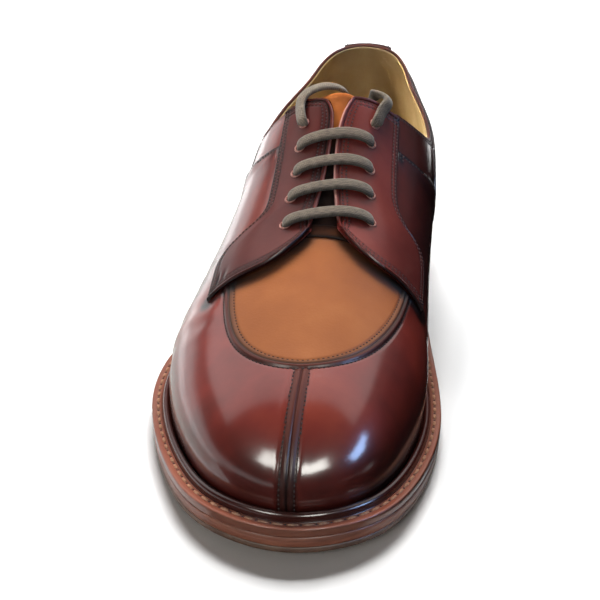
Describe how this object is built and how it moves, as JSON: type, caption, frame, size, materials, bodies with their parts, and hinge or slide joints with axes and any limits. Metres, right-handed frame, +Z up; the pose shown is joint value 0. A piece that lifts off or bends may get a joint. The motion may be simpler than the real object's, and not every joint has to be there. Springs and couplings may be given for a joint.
{
  "type": "derby shoe",
  "caption": "Right-foot leather derby shoe with a split-toe apron, lifted facings, flat laces, a storm-welted sole and a stacked heel, worn to cover and support the foot.",
  "frame": {"origin": "centre of the shoe's bounding box at floor level, under the sole", "axes": "+Z up, toe towards -Y, heel towards +Y, outer side of the foot towards -X, inner side towards +X"},
  "size_m": [0.1124, 0.2988, 0.1067],
  "materials": {
    "dark_rubber": "matt dark brown rubber",
    "sole_leather": "red-brown burnished sole leather",
    "welt_leather": "dark brown satin welt leather",
    "lining_leather": "khaki-beige matt lining leather",
    "burgundy_leather": "polished burgundy calf",
    "tan_leather": "satin tan calf",
    "lace_cord": "woven taupe cotton"
  },
  "bodies": {
    "root": {"outsole": "dark_rubber", "midsole": "sole_leather", "heel": "sole_leather", "welt": "welt_leather", "insole": "lining_leather", "upper": "burgundy_leather", "facing_lateral": "burgundy_leather", "facing_medial": "burgundy_leather", "tongue": "tan_leather", "lace_bar_1": "lace_cord", "lace_bar_2": "lace_cord", "lace_bar_3": "lace_cord", "lace_bar_4": "lace_cord", "lace_end_lateral": "lace_cord", "lace_end_medial": "lace_cord"}
  },
  "joints": []
}
